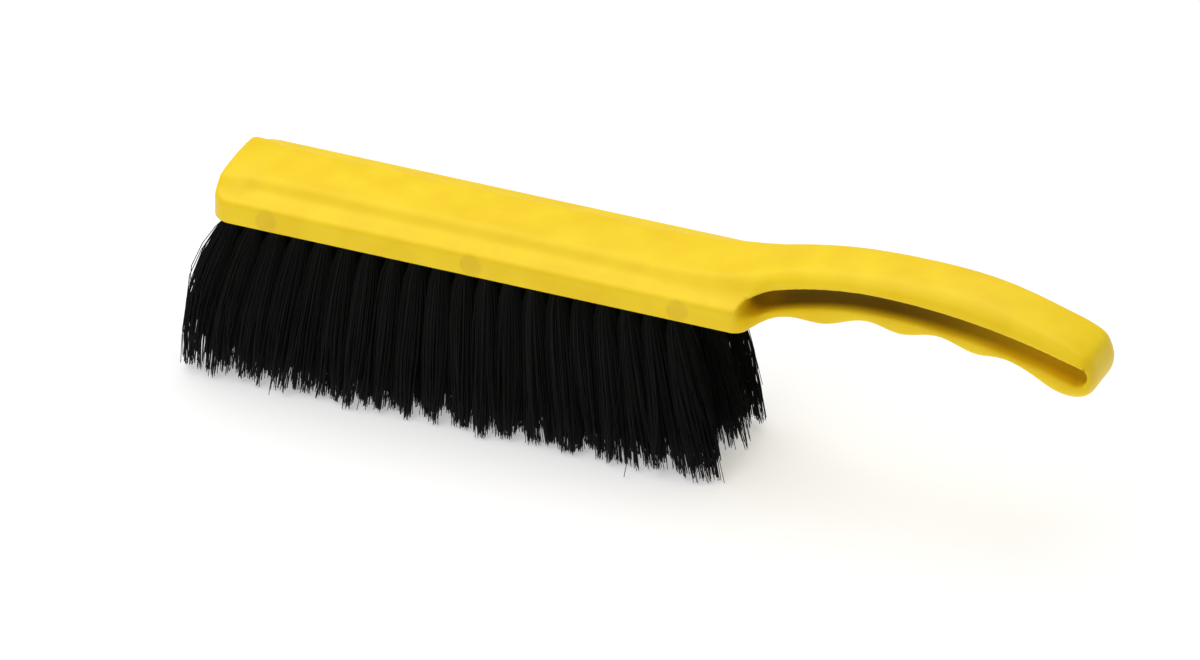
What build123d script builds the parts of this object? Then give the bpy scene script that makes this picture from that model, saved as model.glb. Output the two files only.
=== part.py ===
"""Bee brush: a one-piece moulded handle block with staple-set bristle tufts.

Length runs along X with the toe at -X and the handle at +X, width along Y and
height along Z.  The brush stands on its bristle tips, which are at Z = 0, and
its box is centred on X = 0 and Y = 0.  All sizes are in millimetres.
"""

import os
from math import atan, cos, degrees, hypot, radians, sin, tan

from build123d import *

# ---- driving dimensions: handle block --------------------------------------
block_length = 195.0  # toe to heel, at the underside
handle_length = 122.5  # heel to the end of the handle
block_width = 45.4
wall_height = 8.5  # upright side of the block
shoulder_rise = 2.3  # from the top of the wall up to the foot of the crown
crown_height = 13.8  # block's thickness along its middle
handle_width = 25.0  # the crown is as wide as the handle it runs into
web_thickness = 4.6  # wall left between the two side recesses
recess_height = 7.8
toe_radius = 7.0  # block corners in plan, at the toe
heel_flat = 0.25  # left between a heel corner and the hollow corner beside the handle
fillet_room = 0.05  # an edge outlasts the fillets at its ends by this much
tail_radius = 7.0  # plan rounding of the end of the handle
rim_radius = 1.8  # along the top of the upright side
underside_radius = 0.8
handle_edge_radius = 2.6  # along both sides of the handle, top and grip
recess_floor_radius = 3.0
neck_ramp_length = 45.0  # over which the shoulder climbs to the handle
neck_ramp_rise = 3.4
mark_margin = 0.35  # plain wall above and below each ejector pin mark
mark_depth = 0.25
mark_count = 3
first_mark = 21.0  # toe to the first mark
last_mark = 24.0  # heel to the last mark

# ---- driving dimensions: tufts and anchors ----------------------------------
bristle_length = 59.5  # free length below the block
column_count = 20
first_column = 6.5  # toe to the first column of holes
last_column = 27.0  # heel to the last column of holes
outer_column = 5.5  # side wall to the outermost holes
hole_diameter = 4.4
hole_roof = 0.5  # the holes end this far below the top of the wall
tuft_gap = 0.05  # radial room between tuft root and hole
tip_gap = 0.75  # room left between neighbouring tufts at their tips
end_lean = 11.5  # degrees, first and last columns
side_lean = 2.5  # degrees, outermost rows
anchor_bite = 0.25  # how far each end of an anchor cuts into the hole wall
anchor_height = 1.8
anchor_thickness = 0.4
fold_thickness = 0.9  # folded bristles between anchor and hole floor

# ---- sizes worked out from them ----------------------------------------------
overall_length = block_length + handle_length
half_block = block_width / 2
half_handle = handle_width / 2
crown_foot = wall_height + shoulder_rise
heel_radius = (half_block - half_handle - heel_flat) / 2
neck_radius = heel_radius  # the hollow corners between heel and handle
mark_spacing = (block_length - first_mark - last_mark) / (mark_count - 1)
mark_radius = wall_height / 2 - mark_margin
hole_radius = hole_diameter / 2
hole_depth = wall_height - hole_roof
root_radius = hole_radius - tuft_gap
column_pitch = (block_length - first_column - last_column) / (column_count - 1)
middle_column = (first_column + block_length - last_column) / 2
outer_row = half_block - outer_column
row_pitch = outer_row / 2
room = block_width  # cutting and clipping shapes run this far past the moulding

# the lines of tufts fan out along the brush, and each tuft flares until it nearly meets the next
end_angle = radians(end_lean)
fan_step = end_angle * column_pitch / (middle_column - first_column)
tip_pitch = column_pitch + bristle_length * tan(fan_step)
tip_radius = (min(tip_pitch, hypot(tip_pitch / 2, row_pitch)) - tip_gap) / 2
tuft_flare = atan((tip_radius - root_radius) / bristle_length)

# the tufts' tips reach past the toe, so they set that end of the box
tip_reach = root_radius * cos(end_angle)
tip_reach += (bristle_length + root_radius * sin(end_angle)) * tan(end_angle + tuft_flare)
toe_x = (tip_reach - first_column - overall_length) / 2

# planes with their origin at the middle of the toe's bottom edge
plan = Plane(origin=(toe_x, 0, bristle_length))
side_view = Plane(origin=plan.origin, x_dir=(1, 0, 0), z_dir=(0, -1, 0))
end_view = Plane(origin=plan.origin, x_dir=(0, 1, 0), z_dir=(1, 0, 0))

# ---- outlines of the handle ---------------------------------------------------
# Each point is (distance behind the heel, height over the crown), drawn for a handle of
# drawn_length and stretched to handle_length.
drawn_length = 122.5
top_points = [(-9, 2.2), (8, 7), (34, 11.3), (55, 12), (81, 10.2), (105, 3.8), (115, -0.4)]
grip_points = [(12.8, -9.6), (24.5, -9.4), (40, -4.8), (51.8, -6.9), (65.5, -4.7)]
grip_points += [(79.5, -8.3), (87, -7.8), (102, -12.5), (114, -17)]
recess_points = [(0.5, -6.6), (46, 2.2), (115, -8.6)]  # start, crest and end of its middle line
ramp_start = -27  # where the top starts to climb, before the heel
tail_drop = 9.2  # from the crown down to the furthest point of the handle
tail_room = 1.5  # the plan runs this far past the tail, which the side view rounds off
top_end_way = (1, -0.6)  # how the outline runs at the end of the top points
grip_end_way = (-1, -0.1)  # and where it comes back along the grip
heel_way = (-2, -1)  # and as it meets the underside at the heel


def behind_heel(points):
    """The same points, measured from the toe and from the underside."""
    stretch = handle_length / drawn_length
    return [(block_length + x * stretch, crown_height + z) for x, z in points]


def lean_along(x):
    """Lean of a tuft along the brush, in radians, at x from the toe."""
    return end_angle * (x - middle_column) / (middle_column - first_column)


def lean_across(y):
    """Lean of a tuft across the brush, in radians, at y from the middle."""
    return radians(side_lean) * y / outer_row


def tuft_plane(x, y):
    """Plane at a hole's mouth, with its normal along the hole into the block."""
    along = tan(lean_along(x))
    across = tan(lean_across(y))
    origin = plan.origin + Vector(x, y, 0)
    return Plane(origin=origin, x_dir=(1, 0, along), z_dir=(-along, -across, 1))


def tuft_places(column):
    """Where the tufts of one line stand: three abreast, then two between them."""
    x = first_column + column * column_pitch
    places = [(x, y) for y in (-outer_row, 0, outer_row)]
    if column < column_count - 1:
        places += [(x + column_pitch / 2, y) for y in (-row_pitch, row_pitch)]
    return places


# ---- handle block: one moulding, drilled for the tufts ------------------------
with BuildSketch(side_view) as silhouette:
    with BuildLine():
        grip = behind_heel(grip_points)
        top = behind_heel(top_points)
        climb = (block_length + ramp_start, crown_height)
        tail = (overall_length, crown_height - tail_drop)
        Polyline((block_length, 0), (0, 0), (0, crown_height), climb)
        Spline(climb, *top, tangents=[(1, 0), top_end_way])
        Spline(top[-1], tail, tangents=[top_end_way, (0, -1)])
        Spline(tail, grip[-1], tangents=[(0, -1), grip_end_way])
        Spline(*reversed(grip), (block_length, 0), tangents=[grip_end_way, heel_way])
    make_face()

with BuildPart() as handle_block:
    # the spine: crown and handle in one, as wide as the handle
    extrude(silhouette.sketch, amount=room, both=True)
    with BuildSketch(plan.offset(-room)) as spine_plan:
        Rectangle(overall_length + tail_room, handle_width, align=(Align.MIN, Align.CENTER))
        fillet(spine_plan.vertices().group_by(Axis.X)[-1], tail_radius)
        fillet(spine_plan.vertices().group_by(Axis.X)[0], toe_radius / 2)
    extrude(amount=3 * room, mode=Mode.INTERSECT)
    # on each side the outer edge runs in one smooth line round the tail
    curved = handle_block.edges().filter_by(GeomType.BSPLINE).group_by(Axis.Y)
    fillet(curved[0] + curved[-1], handle_edge_radius)

with BuildPart() as slab:
    # the block itself, its shoulders climbing to the handle at the neck
    ramp = block_length - neck_ramp_length
    slope = neck_ramp_rise / neck_ramp_length
    for x, rise in ((-room, 0), (ramp, 0), (block_length + room, slope * (neck_ramp_length + room))):
        with BuildSketch(end_view.offset(x)) as section:
            with BuildLine():
                foot = crown_foot + rise
                Polyline((0, -room), (half_block, -room), (half_block, wall_height), (half_handle, foot))
                Polyline((half_handle, foot), (-half_handle, foot), (-half_block, wall_height))
                Polyline((-half_block, wall_height), (-half_block, -room), (0, -room))
            make_face()
            fillet(section.vertices().group_by(Axis.Y)[1], rim_radius)
    loft(ruled=True)
    with BuildSketch(plan.offset(-room)) as slab_plan:
        Rectangle(block_length, block_width, align=(Align.MIN, Align.CENTER))
        fillet(slab_plan.vertices().group_by(Axis.X)[0], toe_radius)
        fillet(slab_plan.vertices().group_by(Axis.X)[-1], heel_radius)
        with Locations((block_length, 0)):
            Rectangle(neck_radius + fillet_room, handle_width, align=(Align.MIN, Align.CENTER))
        inner_corners = slab_plan.vertices().group_by(Axis.X)[-2]
        fillet(inner_corners.filter_by_position(Axis.Y, -half_handle, half_handle), neck_radius)
    extrude(amount=3 * room, mode=Mode.INTERSECT)
    extrude(silhouette.sketch, amount=room, both=True, mode=Mode.INTERSECT)
    fillet(slab.edges().filter_by(GeomType.LINE).filter_by(Axis.X).group_by(Axis.Z)[0], underside_radius)

# one side's recess, as the core that leaves it: rounded at its floor
with BuildPart() as recess_core:
    with BuildSketch(side_view.offset(web_thickness / 2)):
        with BuildLine() as middle_line:
            start, crest, end = behind_heel(recess_points)
            TangentArc(crest, start, tangent=(-1, 0))
            TangentArc(crest, end, tangent=(1, 0))
        SlotArc(middle_line.wire(), recess_height)
    extrude(amount=room)
    fillet(recess_core.faces().sort_by(Axis.Y)[-1].edges(), recess_floor_radius)

places = [place for column in range(column_count) for place in tuft_places(column)]
with handle_block:
    add(slab.part)
    add(recess_core.part, mode=Mode.SUBTRACT)
    mirror(recess_core.part, about=Plane.XZ, mode=Mode.SUBTRACT)
    with BuildSketch(side_view.offset(half_block - mark_depth)):
        for mark in range(mark_count):
            with Locations((first_mark + mark * mark_spacing, wall_height / 2)):
                Circle(mark_radius)
    extrude(amount=room, mode=Mode.SUBTRACT)
    with BuildSketch(*[tuft_plane(x, y).offset(-hole_radius) for x, y in places]):
        Circle(hole_radius)
    extrude(amount=hole_depth + hole_radius, mode=Mode.SUBTRACT)
    handle_block.part.label = "handle_block"

os.makedirs("parts", exist_ok=True)
export_step(handle_block.part, "parts/handle_block.step")

# ---- tufts and anchors, one node of each for every line across the block ------
anchor_length = hole_diameter + 2 * anchor_bite
anchor_start = hole_depth - fold_thickness - anchor_height
untrimmed_length = 1.3 * bristle_length  # tufts are made this long, then trimmed level

for column in range(column_count):
    line_planes = [tuft_plane(x, y) for x, y in tuft_places(column)]
    line_name = f"line_{column + 1:02d}"

    with BuildPart() as anchors:
        # a strip of flat wire across each hole, its ends cut into the hole's wall
        with BuildSketch(*[plane.offset(anchor_start) for plane in line_planes]) as strips:
            Rectangle(anchor_thickness, anchor_length)
        extrude(amount=anchor_height)
        anchors.part.label = f"anchor_{line_name}"

    with BuildPart() as tufts:
        # each tuft is folded over its anchor, fills the hole and flares to its tips
        with BuildSketch(*line_planes) as mouths:
            Circle(root_radius)
        extrude(amount=hole_depth - tuft_gap)
        extrude(mouths.sketch, amount=-untrimmed_length, taper=-degrees(tuft_flare))
        split(bisect_by=Plane.XY)
        extrude(strips.sketch, amount=anchor_height, mode=Mode.SUBTRACT)
        tufts.part.label = f"tuft_{line_name}"

    export_step(anchors.part, f"parts/anchor_{line_name}.step")
    export_step(tufts.part, f"parts/tuft_{line_name}.step")
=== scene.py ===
"""Bee brush, for Blender 4.5: a moulded yellow handle block with soft black tufts.

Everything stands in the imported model's frame, in metres: +X from the toe to the end of
the handle, +Z up, with the bristle tips on Z = 0.
"""

from math import cos, radians, sin

import bpy
import numpy as np
from mathutils import Matrix, Vector


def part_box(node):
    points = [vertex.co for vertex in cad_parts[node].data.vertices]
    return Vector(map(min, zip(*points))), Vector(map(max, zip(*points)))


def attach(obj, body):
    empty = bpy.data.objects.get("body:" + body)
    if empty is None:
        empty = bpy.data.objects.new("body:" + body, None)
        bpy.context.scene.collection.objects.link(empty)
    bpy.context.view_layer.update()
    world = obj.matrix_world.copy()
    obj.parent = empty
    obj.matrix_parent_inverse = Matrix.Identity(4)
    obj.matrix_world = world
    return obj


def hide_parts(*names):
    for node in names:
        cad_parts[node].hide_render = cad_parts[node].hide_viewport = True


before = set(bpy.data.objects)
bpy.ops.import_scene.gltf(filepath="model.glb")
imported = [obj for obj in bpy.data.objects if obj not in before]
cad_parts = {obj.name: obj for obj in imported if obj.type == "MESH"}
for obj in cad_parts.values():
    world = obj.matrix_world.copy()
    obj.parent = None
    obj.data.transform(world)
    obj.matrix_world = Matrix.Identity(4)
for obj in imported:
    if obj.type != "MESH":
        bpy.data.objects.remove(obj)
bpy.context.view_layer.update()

# ---- Handle block ---------------------------------------------------------------------
# One injection moulding in yellow polypropylene: the block that holds the tufts, a crown
# along its back, and the arched handle with four finger grooves and a recess in each side.
# The two halves of the mould part along the middle, so both sides are drawn off sideways.
MM = 0.001
block_low, block_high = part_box("handle_block")
handle_crest = 25.8  # the handle's highest point over the underside, in mm as all below
handle_length = 122.5  # from the heel of the block
toe_at = block_low.x
underside_at = block_high.z - handle_crest * MM
overall_length = (block_high.x - block_low.x) / MM
block_length = overall_length - handle_length
half_block = block_high.y / MM
half_handle = 12.5
half_web = 2.3  # of the wall left between the two recesses
wall_height = 8.5  # the upright side of the block
crown_height = 13.8  # the block's thickness along its middle


def in_frame(points):
    """Points measured in mm from the toe and the underside, as metres in the frame."""
    return np.asarray(points) * MM + np.array([toe_at, 0.0, underside_at])


def curve_through(points):
    """The smooth curve (natural cubic spline) through (x, height) points."""
    x, height = np.array(points, float).T
    gap = np.diff(x)
    slope = np.diff(height) / gap
    bending = np.eye(len(x))
    load = np.zeros(len(x))
    for i in range(1, len(x) - 1):
        bending[i, i - 1 : i + 2] = gap[i - 1], 2 * (gap[i - 1] + gap[i]), gap[i]
        load[i] = 6 * (slope[i] - slope[i - 1])
    bend = np.linalg.solve(bending, load)

    def curve(at):
        i = np.clip(np.searchsorted(x, at) - 1, 0, len(gap) - 1)
        step = np.clip(at, x[0], x[-1]) - x[i]
        start = slope[i] - gap[i] * (2 * bend[i] + bend[i + 1]) / 6
        twist = (bend[i + 1] - bend[i]) / (6 * gap[i])
        return height[i] + step * (start + step * (bend[i] / 2 + step * twist))

    return curve


def ease(x, start, end):
    """0 before start, 1 after end, smooth between them."""
    t = np.clip((x - start) / (end - start), 0, 1)
    return t * t * (3 - 2 * t)


def meet(a, b, radius):
    """What is inside both shapes, its outer corner rounded to the radius."""
    outside = np.hypot(np.maximum(a + radius, 0), np.maximum(b + radius, 0))
    return np.minimum(np.maximum(a, b), -radius) + outside


def join(a, b, radius):
    """What is inside either shape, the hollow corner between them filled to the radius."""
    return -meet(-a, -b, radius)


def plan_outline(x, y, end, half_width, toe_corner, far_corner):
    """Distance from a rectangle that starts at the toe, with round corners, seen from above."""
    radius = np.where(x < end / 2, toe_corner, far_corner)
    along = np.abs(x - end / 2) - end / 2 + radius
    across = np.abs(y) - half_width + radius
    corner = np.hypot(np.maximum(along, 0), np.maximum(across, 0))
    return np.minimum(np.maximum(along, across), 0) + corner - radius


# side view of the moulding: its top, then the finger grip under the handle
top_line = curve_through(
    [(x, crown_height) for x in (-20, 30, 60, 90, 120, 145, 165)]
    + [(186, 16.0), (203, 20.8), (229, 25.1), (250, handle_crest), (276, 24.0), (300, 17.7)]
    + [(306, 15.6), (311, 13.2), (315, 9.6), (318, 4.0)]
)
grip_line = curve_through(
    [(160, -14.0), (185, -4.6), (195, -0.2), (207.8, 4.2), (219.5, 4.4), (235, 9.0), (246.8, 6.9)]
    + [(260.5, 9.1), (274.5, 5.5), (282, 6.0), (297, 0.9), (303, -2.3), (308, -3.6), (313, -2.9)]
    + [(316, -0.4), (318, 4.0)]
)


def height_over(line, x, z):
    """Distance above a line of the side view, measured square to it."""
    slope = line(x + 0.5) - line(x - 0.5)
    return (z - line(x)) / np.sqrt(1 + slope**2)


# middle line of a recess in side view, as (behind the heel, over the underside)
recess_start = (0.5, 7.2)
recess_crest = (46.0, 16.0)
recess_end = (115.0, 5.2)
half_recess = 3.9  # of its height
lip_blend = 3.0  # the upper edge turns into the lower lip over this much each side


def recess_slot(x, z):
    """Distance from a recess's outline in side view: a bent slot with round ends, in two arcs."""
    x = x - block_length
    crest_x, crest_z = recess_crest
    distance = np.full(np.shape(x), 1e3)
    for (end_x, end_z), side in ((recess_start, -1), (recess_end, 1)):
        run = abs(end_x - crest_x)
        drop = crest_z - end_z
        radius = (run**2 + drop**2) / (2 * drop)
        centre = crest_z - radius
        arc = np.abs(np.hypot(x - crest_x, z - centre) - radius)
        past_end = (x - crest_x) * side * (radius - drop) > (z - centre) * run
        arc = np.where(past_end, np.hypot(x - end_x, z - end_z), arc)
        distance = np.where((x - crest_x) * side >= 0, arc, distance)
    return distance - half_recess


def low_in_recess(x, z):
    """0 in the upper half of a recess, 1 in its lower half, smooth between them."""
    crest_x, crest_z = recess_crest
    before = x - block_length < crest_x
    end_x = np.where(before, recess_start[0], recess_end[0])
    end_z = np.where(before, recess_start[1], recess_end[1])
    run = (x - block_length - crest_x) / (end_x - crest_x)
    return ease(crest_z - (crest_z - end_z) * run**2 - z, -lip_blend, lip_blend)


# the holes, on a staggered grid; the lines they are drilled along fan out from the middle
column_count = 20
column_pitch = 8.5
first_column = 6.5  # from the toe
last_column = first_column + (column_count - 1) * column_pitch
middle_column = (first_column + last_column) / 2
outer_row = 2  # rows are numbered -2 to 2
row_pitch = 8.6
hole_radius = 2.2
hole_depth = 8.0
end_lean = radians(11.5)  # of the first and last columns
side_lean = radians(2.5)  # of the outer rows


def lean(x, y):
    """How far a hole's line moves along and across for each mm away from the block."""
    along = np.tan(end_lean * (x - middle_column) / (middle_column - first_column))
    return along, np.tan(side_lean * y / (outer_row * row_pitch))


def tuft_holes(x, y, z):
    """Distance from the nearest blind hole in the underside."""
    along, across = lean(x, y)
    x = x + along * z
    y = y + across * z
    row = np.clip(np.round(y / row_pitch), -outer_row, outer_row)
    offset = np.where(row % 2 == 0, 0, 0.5)
    column = np.round((x - first_column) / column_pitch - offset)
    column = np.clip(column, 0, column_count - 1 - 2 * offset)
    hole_x = first_column + (column + offset) * column_pitch
    bore = np.hypot(x - hole_x, y - row * row_pitch) - hole_radius
    return np.maximum(bore, z - hole_depth)


# plan corners of each form, at the toe and at its far end
crown_corners = (2.5, 6.5)
block_corners = (7.0, 5.0)
# how far the top edge of the crown is rounded: at the toe, along the block, handle and tail
toe_edge = 1.6
crown_edge = 2.3
handle_edge = 5.3
tail_edge = 4.5
toe_flare = 1.6  # the crown is this much wider each side at the toe
crown_camber = 0.5  # its middle stands this far above its edges
shoulder_climb = 0.225  # slope of the shoulders
neck_climb = 0.325
rim_edge = 1.4  # between shoulder and wall
crease = 3.6  # hollow corner between crown and shoulder
neck_crease = 7.2
# the dome that closes both creases at the toe
dome_length = 11.0
half_dome = 17.5
dome_corner = 4.0
dome_drop = 0.6  # below the crown, at the middle
dome_fall = 0.012  # and this much more for each mm across, squared
dome_edge = 3.0
dome_crease = 3.5
toe_trim = 0.3
toe_face_edge = 1.4
# lower edges: of the block, more under the grip, and more again at the tail
underside_edge = 0.8
grip_extra = 1.0
tail_extra = 2.4
flat_reach = 30.0  # the underside's level holds this far behind the heel
# a recess: corner at the web and edge at the mouth, and how much softer both are at the lip
web_corner = 1.6
web_corner_extra = 2.0
mouth_edge = 0.7
mouth_edge_extra = 1.1
# marks of the ejector pins, on the near wall
mark_places = (21, 96, 171)
mark_radius = 3.6
mark_ramp = 0.4
mark_depth = 0.35


def moulding(x, y, z):
    """Distance from the surface of the whole moulding, in mm; less than zero inside it."""
    # the crown and handle, one long rounded bar that follows the top line
    tail = ease(x, overall_length - 20, overall_length - 4)
    grip = ease(x, block_length - 15, block_length + 20)
    flare = toe_flare * (1 - ease(x, 4, 16))
    bar = plan_outline(x, y, overall_length, half_handle + flare, *crown_corners)
    bar_top = height_over(top_line, x, z) + crown_camber * (y / half_handle) ** 2
    edge = toe_edge + (crown_edge - toe_edge) * ease(x, 3, 20)
    edge = edge + (handle_edge - crown_edge) * grip + (tail_edge - handle_edge) * tail
    bar = meet(bar, bar_top, edge)
    # the block and its shoulders, which climb to the handle at the neck
    block = plan_outline(x, y, block_length, half_block, *block_corners)
    neck = ease(x, block_length - 50, block_length)
    climb = shoulder_climb + (neck_climb - shoulder_climb) * neck
    rise = np.minimum(half_block - np.abs(y), half_block - half_handle) * climb
    shoulder = (z - wall_height - rise) / np.sqrt(1 + climb**2)
    block = meet(block, shoulder, rim_edge)
    body = join(bar, block, crease + (neck_crease - crease) * neck)
    # the crease between crown and shoulder runs out into a dome at the toe
    dome = plan_outline(x, y, dome_length, half_dome, dome_corner, dome_corner)
    dome = meet(dome, z - crown_height + dome_drop + dome_fall * y**2, dome_edge)
    body = join(body, dome, dome_crease)
    # the filled creases swell the flat end of the toe, which is cut back flush
    body = meet(body, -x - toe_trim, toe_face_edge)
    # the flat underside, then the finger grip and the rounded tail
    below = -height_over(grip_line, x, z)
    below = np.where(x < block_length + flat_reach, np.maximum(below, -z), below)
    edge = underside_edge + grip_extra * ease(x, block_length, block_length + 8) + tail_extra * tail
    body = meet(body, below, edge)
    # the recesses, with a crisp upper edge and a soft lower lip
    low = low_in_recess(x, z)
    recess = meet(recess_slot(x, z), half_web - np.abs(y), web_corner + web_corner_extra * low)
    body = meet(body, -recess, mouth_edge + mouth_edge_extra * low)
    for place in mark_places:
        from_mark = np.hypot(x - place, z - wall_height / 2)
        mark = 1 - ease(from_mark, mark_radius, mark_radius + mark_ramp)
        body = np.maximum(body, -half_block + mark_depth * mark - y)
    return np.maximum(body, -tuft_holes(x, y, z))


def skin(name, shape, low, high, step):
    """A closed mesh of a shape given by its distance function: one vertex in each grid cell that
    the surface crosses, slid onto the surface, and one face round each grid edge it crosses.
    Gives the object and its vertices in mm."""
    axes = [np.arange(start, stop + step, step) for start, stop in zip(low, high)]
    distance = shape(*np.meshgrid(*axes, indexing="ij", sparse=False))
    cells = np.array(distance.shape) - 1
    places = np.zeros((*cells, 3))
    crossings = np.zeros(cells)
    rings = []
    for axis in range(3):
        near = np.moveaxis(distance, axis, 0)[:-1]
        far = np.moveaxis(distance, axis, 0)[1:]
        near, far = np.moveaxis(near, 0, axis), np.moveaxis(far, 0, axis)
        edge = np.argwhere((near < 0) != (far < 0))
        at = tuple(edge.T)
        point = edge.astype(float)
        point[:, axis] += near[at] / (near[at] - far[at])
        ring = []
        for one, two in ((0, 0), (-1, 0), (-1, -1), (0, -1)):
            cell = edge.copy()
            cell[:, (axis + 1) % 3] += one
            cell[:, (axis + 2) % 3] += two
            np.add.at(places, tuple(cell.T), point)
            np.add.at(crossings, tuple(cell.T), 1)
            ring.append(np.ravel_multi_index(tuple(cell.T), cells))
        ring = np.stack(ring, 1)
        rings.append(np.where((near[at] < 0)[:, None], ring, ring[:, ::-1]))
    used = np.flatnonzero(crossings)
    number = np.full(crossings.size, -1)
    number[used] = np.arange(len(used))
    points = places.reshape(-1, 3)[used] / crossings.reshape(-1)[used][:, None] * step + low
    reach = 0.05  # either side of a point, to find which way is uphill
    for _ in range(4):
        here = shape(*points.T)
        ahead = [shape(*(points + reach * way).T) for way in np.eye(3)]
        behind = [shape(*(points - reach * way).T) for way in np.eye(3)]
        uphill = (np.stack(ahead, 1) - np.stack(behind, 1)) / (2 * reach)
        slide = uphill * (here / np.maximum((uphill**2).sum(1), 0.2))[:, None]
        points -= np.clip(slide, -step / 2, step / 2)
    mesh = bpy.data.meshes.new(name)
    mesh.from_pydata(in_frame(points).tolist(), [], number[np.concatenate(rings)].tolist())
    mesh.shade_smooth()
    piece = bpy.data.objects.new(name, mesh)
    bpy.context.scene.collection.objects.link(piece)
    return piece, points


def paint(piece, name, values):
    """Stores one number for each vertex, for the material to read."""
    layer = piece.data.attributes.new(name, "FLOAT", "POINT")
    layer.data.foreach_set("value", values.astype(np.float32))


def linear(colour):
    """An sRGB hex colour as the linear RGBA that shaders take."""
    parts = [int(colour[i : i + 2], 16) / 255 for i in (1, 3, 5)]
    return [c / 12.92 if c <= 0.04045 else ((c + 0.055) / 1.055) ** 2.4 for c in parts] + [1.0]


def new_material(name):
    """A material with no nodes yet."""
    material = bpy.data.materials.new(name)
    material.use_nodes = True
    material.node_tree.nodes.clear()
    return material


def add_node(material, kind, inputs, **settings):
    """Adds a node with its settings; an input is a value, or the output of another node."""
    node = material.node_tree.nodes.new("ShaderNode" + kind)
    for setting, value in settings.items():
        setattr(node, setting, value)
    for socket, value in inputs.items():
        if isinstance(value, bpy.types.NodeSocket):
            material.node_tree.links.new(value, node.inputs[socket])
        else:
            node.inputs[socket].default_value = value
    return node


# Moulded polypropylene, from a mould with a fine spark-eroded finish: a soft satin sheen,
# faint uneven gloss where the plastic cooled slower, and slow waves from sink marks.
yellow = new_material("moulded_polypropylene_yellow")
place = add_node(yellow, "TexCoord", {}).outputs["Object"]
flow = add_node(
    yellow, "TexNoise", {"Vector": place, "Scale": 1 / (14 * MM), "Detail": 2.0, "Roughness": 0.5}
).outputs["Fac"]
sink = add_node(yellow, "TexNoise", {"Vector": place, "Scale": 1 / (9 * MM), "Detail": 1.0})
# the eroded grain is about 0.05 mm across, drawn at 0.6 mm so that it shows
grain = add_node(yellow, "TexNoise", {"Vector": place, "Scale": 1 / (0.6 * MM), "Detail": 2.0})
tone = add_node(yellow, "MapRange", {"Value": flow, "From Min": 0.3, "From Max": 0.7})
colour = add_node(
    yellow,
    "Mix",
    {0: tone.outputs["Result"], 6: linear("#F9D21A"), 7: linear("#FFDC24")},
    data_type="RGBA",
)
gloss = add_node(
    yellow,
    "MapRange",
    {"Value": flow, "From Min": 0.3, "From Max": 0.7, "To Min": 0.36, "To Max": 0.44},
)
waves = add_node(
    yellow, "Bump", {"Height": sink.outputs["Fac"], "Strength": 0.25, "Distance": 0.3 * MM}
)
relief = add_node(
    yellow,
    "Bump",
    {
        "Height": grain.outputs["Fac"],
        "Normal": waves.outputs["Normal"],
        "Strength": 0.3,
        "Distance": 0.05 * MM,
    },
)
# painted shade, dark and brown, darkest deep in each recess, standing in for the shadow under its
# overhanging upper edge
recess_shade_fac = add_node(yellow, "Attribute", {}, attribute_name="recess_painted_shade").outputs["Fac"]
recess_shaded = add_node(
    yellow, "Mix", {0: recess_shade_fac, 6: colour.outputs[2], 7: linear("#4A2A26")}, data_type="RGBA"
)
# the polished ends of the ejector pins leave discs that are a little darker
pin = add_node(yellow, "Attribute", {}, attribute_name="pin_mark").outputs["Fac"]
marked = add_node(
    yellow, "Mix", {0: pin, 6: recess_shaded.outputs[2], 7: linear("#D9A92C")}, data_type="RGBA"
)
surface = add_node(
    yellow,
    "BsdfPrincipled",
    {
        "Base Color": marked.outputs[2],
        "Roughness": gloss.outputs["Result"],
        "IOR": 1.49,
        "Specular IOR Level": 0.22,
        "Normal": relief.outputs["Normal"],
    },
)
add_node(yellow, "OutputMaterial", {"Surface": surface.outputs["BSDF"]})

grid_step = 0.76
grid_room = 1.5  # the grid runs this far past the moulding
tail_drop = 4.0  # the tail hangs a little less than this below the underside
handle, surface_points = skin(
    "handle_moulding",
    moulding,
    np.array([-grid_room, -half_block - grid_room, -tail_drop - grid_room]),
    np.array([overall_length + grid_room, half_block + grid_room, handle_crest + grid_room]),
    grid_step,
)
handle.data.materials.append(yellow)
x, y, z = surface_points.T
# painted shade in the recesses: it builds from 1 to 7 mm deep, thins out towards the tail and stops
# short of the block
painted_shade_depth = ease(half_handle - np.abs(y), 1.0, 7.0) * (recess_slot(x, z) < 0.3)
painted_shade_strength = 1 - 0.75 * ease(x, block_length + 40, overall_length - 5)
painted_shade_strength = painted_shade_strength * (0.45 + 0.3 * ease(x, block_length, block_length + 10))
# stores the painted recess shade, one number for each vertex
paint(handle, "recess_painted_shade", painted_shade_depth * painted_shade_strength)
discs = np.zeros(len(x))
for place in mark_places:
    from_mark = np.hypot(x - place, z - wall_height / 2)
    discs += 1 - ease(from_mark, mark_radius - 0.1, mark_radius + mark_ramp + 0.1)
paint(handle, "pin_mark", 0.3 * discs * (y < 1 - half_block))
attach(handle, "root")
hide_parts("handle_block")

# ---- Tufts ------------------------------------------------------------------------------
# Black polypropylene filament, cut to length, folded in half over an anchor and driven into
# a hole. The tufts flare to a level trim, and their worn tips gather into small points.
filament_count = 220  # in each tuft, both halves of each fold
filament_width = 0.5
tip_width = 0.3
root_radius = 2.1
tip_radius = 6.2
bristle_length = underside_at / MM
depths = np.array([-5.0, 0.0, 8.0, 20.0, 36.0, 49.0, bristle_length])  # from the underside
clump_count = 8  # small points that each tuft's tips gather into
point_length = 1.6  # a clump's outer filaments end this much sooner than its middle
shortest = 12.0  # no filament ends further than this above the floor
notch_share = 0.15  # of the clumps end well short
stray_share = 0.01  # of the filaments leave their tuft
stray_bend = 4.0
clump_bend = 0.8
filament_bend = 0.7
side_splay = 2.5  # outward, at the tips of the outer rows
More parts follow.
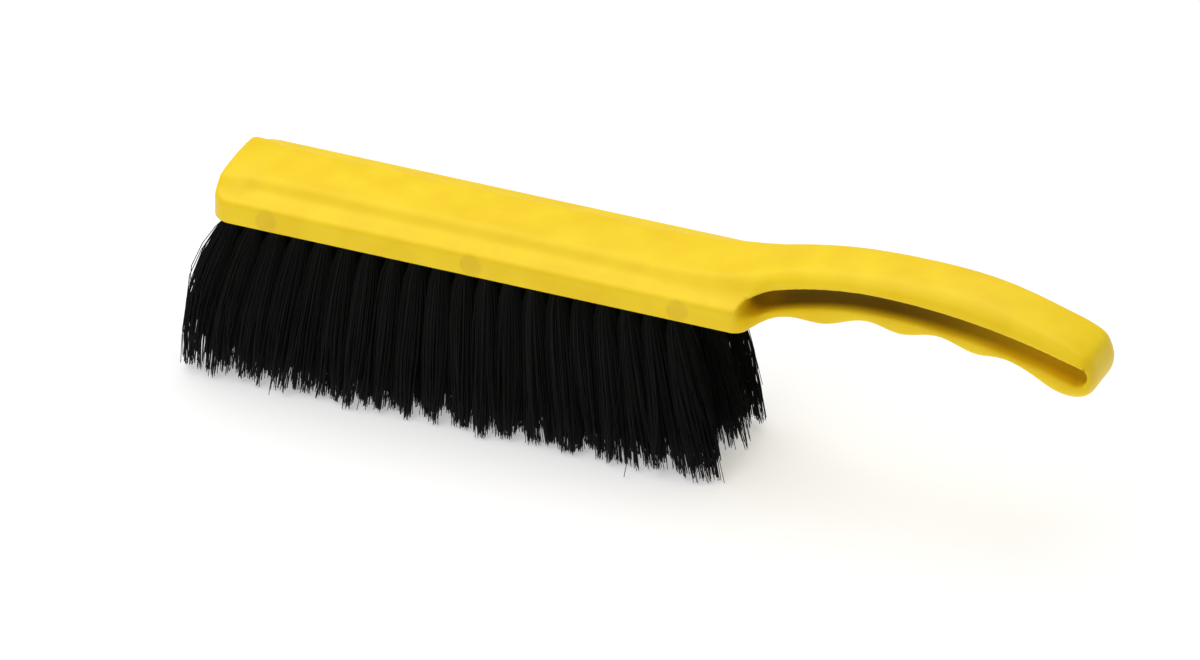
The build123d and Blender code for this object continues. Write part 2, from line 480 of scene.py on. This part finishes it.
# the two ends of the brush have splayed: a bulge half-way down, then outwards at the tips
end_reach = 20.0  # the splay dies away over about this length
toe_bulge = 3.2
heel_bulge = 0.5
toe_splay = 0.5
heel_splay = 1.0
toe_stick_out = 2.0  # of the few outermost filaments, which are also shorter
heel_stick_out = 3.0
stick_out_short = 0.4
pushed_in = 6.0  # the far corner of the heel, towards the middle
chance = np.random.default_rng(4)
any_turn = 6.3  # radians


def disc(count, turn):
    """Points spread evenly over a unit disc, as the seeds of a sunflower are."""
    step = np.arange(count)
    angle = step * np.radians(137.5) + turn
    return np.sqrt((step + 0.5) / count)[:, None] * np.stack([np.cos(angle), np.sin(angle)], 1)


def tuft(x, y):
    """The middle lines of one tuft's filaments, in mm: an array of filament, depth, xyz."""
    spot = disc(filament_count, chance.uniform(0, any_turn))
    spot = spot + chance.normal(0, 0.03, (filament_count, 2))
    clump = disc(clump_count, chance.uniform(0, any_turn)) * 0.85
    clump = clump + chance.normal(0, 0.08, (clump_count, 2))
    apart = np.hypot(*(spot[:, None] - clump[None]).transpose(2, 0, 1))
    mine = apart.argmin(1)
    # uneven lengths, longest in the middle of a clump, so that it ends in a point
    notch = chance.uniform(2, 7, clump_count) * (chance.uniform(size=clump_count) < notch_share)
    short = notch[mine] + chance.exponential(0.3, clump_count)[mine]
    short = short + chance.exponential(0.4, filament_count)
    short = short + point_length * np.minimum(apart.min(1) / 0.4, 1.2) ** 1.5
    short = np.minimum(short, shortest)
    depth = np.where(depths > 0, depths * (1 - short[:, None] / bristle_length), depths)
    # the tuft flares just below its hole, and its clumps draw together near the tips
    run = np.maximum(depths, 0) / bristle_length
    radius = root_radius + (tip_radius - root_radius) * (1 - np.exp(-run * 6))
    gather = chance.uniform(0.4, 0.8, clump_count)[mine][:, None] * ease(run, 0.7, 1.0)
    spread = spot[:, None] * (1 - gather[..., None]) + clump[mine][:, None] * gather[..., None]
    path = spread * radius[:, None]
    # each clump and each filament bends its own way, and a few filaments stray
    stray = np.where(chance.uniform(size=filament_count) < stray_share, stray_bend, filament_bend)
    bend = chance.normal(0, clump_bend, (clump_count, 2))[mine]
    bend = bend + chance.normal(0, 1, (filament_count, 2)) * stray[:, None]
    path = path + bend[:, None] * (run**2)[None, :, None]
    # the splay at the two ends of the brush
    toe_side = np.exp(-(x - first_column) / end_reach)
    heel_side = np.exp(-(last_column - x) / end_reach)
    out = chance.uniform(size=(filament_count, 1)) ** 3
    splay = (heel_bulge * heel_side - toe_bulge * toe_side) * np.sin(np.pi * run**1.3)
    splay = splay + heel_side * (heel_splay + heel_stick_out * out) * run**2
    splay = splay - toe_side * (toe_splay + toe_stick_out * out) * run**2
    pushed = pushed_in * heel_side * max(y, 0) / half_block * run**2
    along, across = lean(x, y)
    cut = 1 - stick_out_short * out * max(toe_side, heel_side)
    depth = np.where(depth > 0, depth * cut, depth)
    path[..., 0] += x + along * depth + splay
    path[..., 1] += y + across * depth + side_splay * y / half_block * run - pushed
    return np.concatenate([path, -depth[..., None]], 2)


def filaments(name, lines):
    """A three-sided tube along each line, closed at both ends and finer at its tip."""
    count, rings = lines.shape[:2]
    width = np.linspace(filament_width, tip_width, rings)[:, None] / 2
    angles = np.radians([90, 210, 330])
    ring = np.stack([np.cos(angles), np.sin(angles), np.zeros(3)], 1)
    points = lines[:, :, None] + width[None, :, :, None] * ring
    first = (np.arange(count) * rings * 3)[:, None, None]
    level = (np.arange(rings - 1) * 3)[None, :, None]
    corner = np.arange(3)[None, None]
    after = (corner + 1) % 3
    base = first + level
    sides = np.stack([base + corner, base + 3 + corner, base + 3 + after, base + after], 3)
    faces = sides.reshape(-1, 4).tolist()
    faces += (first[:, 0] + np.array([[0, 1, 2]])).tolist()
    faces += (first[:, 0] + (rings - 1) * 3 + np.array([[2, 1, 0]])).tolist()
    mesh = bpy.data.meshes.new(name)
    mesh.from_pydata(in_frame(points.reshape(-1, 3)).tolist(), [], faces)
    mesh.shade_smooth()
    piece = bpy.data.objects.new(name, mesh)
    bpy.context.scene.collection.objects.link(piece)
    return piece


# Extruded polypropylene filament, dyed black: near-black with a faint sheen along each hair,
# a little paler and warmer over the last 16 mm, where dust and wear have dulled it.
black = new_material("extruded_polypropylene_filament_black")
hair = add_node(black, "NewGeometry", {}).outputs["Random Per Island"]
place = add_node(black, "TexCoord", {}).outputs["Object"]
height = add_node(black, "SeparateXYZ", {"Vector": place}).outputs["Z"]
worn = add_node(
    black, "MapRange", {"Value": height, "From Min": 16 * MM, "From Max": 0.0, "To Max": 0.5}
)
shade = add_node(
    black, "Mix", {0: hair, 6: linear("#0B0D0B"), 7: linear("#121511")}, data_type="RGBA"
)
tint = add_node(
    black,
    "Mix",
    {0: worn.outputs["Result"], 6: shade.outputs[2], 7: linear("#2B2530")},
    data_type="RGBA",
)
sheen = add_node(black, "MapRange", {"Value": hair, "To Min": 0.5, "To Max": 0.8})
surface = add_node(
    black,
    "BsdfPrincipled",
    {
        "Base Color": tint.outputs[2],
        "Roughness": sheen.outputs["Result"],
        "IOR": 1.49,
        "Specular IOR Level": 0.12,
    },
)
add_node(black, "OutputMaterial", {"Surface": surface.outputs["BSDF"]})

for column in range(column_count):
    x = first_column + column * column_pitch
    places = [(x, row * row_pitch) for row in (-2, 0, 2)]
    if column < column_count - 1:
        places += [(x + column_pitch / 2, row * row_pitch) for row in (-1, 1)]
    lines = np.concatenate([tuft(*place) for place in places])
    line = filaments(f"bristles_line_{column + 1:02d}", lines)
    line.data.materials.append(black)
    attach(line, "root")
    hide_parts(f"tuft_line_{column + 1:02d}")

# ---- Anchors ------------------------------------------------------------------------------
# A short strip of flat galvanised steel wire across each hole, inside the folded tuft. Its
# ends cut into the wall of the hole and hold the tuft down. The CAD shapes stay as they are.

# Drawn steel wire with a zinc coat: dull bright grey, with a fine spangle that breaks up the
# shine and shallow marks from the drawing.
zinc = new_material("drawn_steel_wire_galvanised")
place = add_node(zinc, "TexCoord", {}).outputs["Object"]
# zinc crystals and drawing marks are finer than 0.3 mm, drawn at that size so that they show
spangle = add_node(
    zinc, "TexNoise", {"Vector": place, "Scale": 1 / (0.3 * MM), "Detail": 3.0}
).outputs["Fac"]
dulled = add_node(zinc, "MapRange", {"Value": spangle, "To Min": 0.25, "To Max": 0.5})
tone = add_node(
    zinc, "Mix", {0: spangle, 6: linear("#A9ACAF"), 7: linear("#C9CBCC")}, data_type="RGBA"
)
marks = add_node(zinc, "Bump", {"Height": spangle, "Strength": 0.2, "Distance": 0.02 * MM})
surface = add_node(
    zinc,
    "BsdfPrincipled",
    {
        "Base Color": tone.outputs[2],
        "Metallic": 1.0,
        "Roughness": dulled.outputs["Result"],
        "Normal": marks.outputs["Normal"],
    },
)
add_node(zinc, "OutputMaterial", {"Surface": surface.outputs["BSDF"]})

for name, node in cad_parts.items():
    if name.startswith("anchor_line"):
        node.data.materials.clear()
        node.data.materials.append(zinc)

# ---- Floor, light and camera ----------------------------------------------------------------
# A white table that glows a little, so that shadows stay pale, one broad lamp overhead and a
# little behind, a smaller one in front, and faint light from all round.
half_table = 6.0  # metres
floor_mesh = bpy.data.meshes.new("floor")
floor_corners = [(-half_table, -half_table, 0), (half_table, -half_table, 0)]
floor_corners += [(half_table, half_table, 0), (-half_table, half_table, 0)]
floor_mesh.from_pydata(floor_corners, [], [(0, 1, 2, 3)])
floor = bpy.data.objects.new("floor", floor_mesh)
bpy.context.scene.collection.objects.link(floor)
white = new_material("matt_white_table")
surface = add_node(
    white,
    "BsdfPrincipled",
    {
        "Base Color": linear("#DCDCDC"),
        "Roughness": 0.9,
        "Emission Color": linear("#FFFFFF"),
        "Emission Strength": 0.4,
    },
)
add_node(white, "OutputMaterial", {"Surface": surface.outputs["BSDF"]})
floor_mesh.materials.append(white)

world = bpy.data.worlds.new("studio")
bpy.context.scene.world = world
world.use_nodes = True
background = world.node_tree.nodes["Background"]
background.inputs["Color"].default_value = linear("#FFFFFF")
background.inputs["Strength"].default_value = 0.25


def lamp(name, place, size, power):
    """A soft square lamp that faces the brush."""
    light = bpy.data.lights.new(name, "AREA")
    light.size = size
    light.energy = power
    piece = bpy.data.objects.new(name, light)
    away = Vector(place) - Vector((0, 0, underside_at))
    turn = away.to_track_quat("Z", "Y").to_matrix().to_4x4()
    piece.matrix_world = Matrix.Translation(place) @ turn
    bpy.context.scene.collection.objects.link(piece)


lamp("overhead_lamp", (-0.3, 0.35, 1.7), size=2.2, power=28.0)
lamp("front_lamp", (-0.3, -1.2, 1.4), size=1.2, power=7.5)

# the camera stands far off with a long lens, so that parallel edges stay nearly parallel
azimuth = radians(23.04)
elevation = radians(31.0)
seen_width = 0.4044  # metres across the picture, at the toe
right = Vector((cos(azimuth), sin(azimuth), 0))
up = Vector((-sin(azimuth) * sin(elevation), cos(azimuth) * sin(elevation), cos(elevation)))
back = right.cross(up)
camera = bpy.data.objects.new("camera", bpy.data.cameras.new("camera"))
camera.data.lens = 800
camera.data.clip_end = 100
distance = seen_width * camera.data.lens / camera.data.sensor_width
target = Vector((toe_at, 0, underside_at)) + right * 0.1227 - up * 0.0478
turn = Matrix((right, up, back)).transposed().to_4x4()
camera.matrix_world = Matrix.Translation(target + back * distance) @ turn
bpy.context.scene.collection.objects.link(camera)
bpy.context.scene.camera = camera
bpy.context.scene.view_settings.view_transform = "Standard"
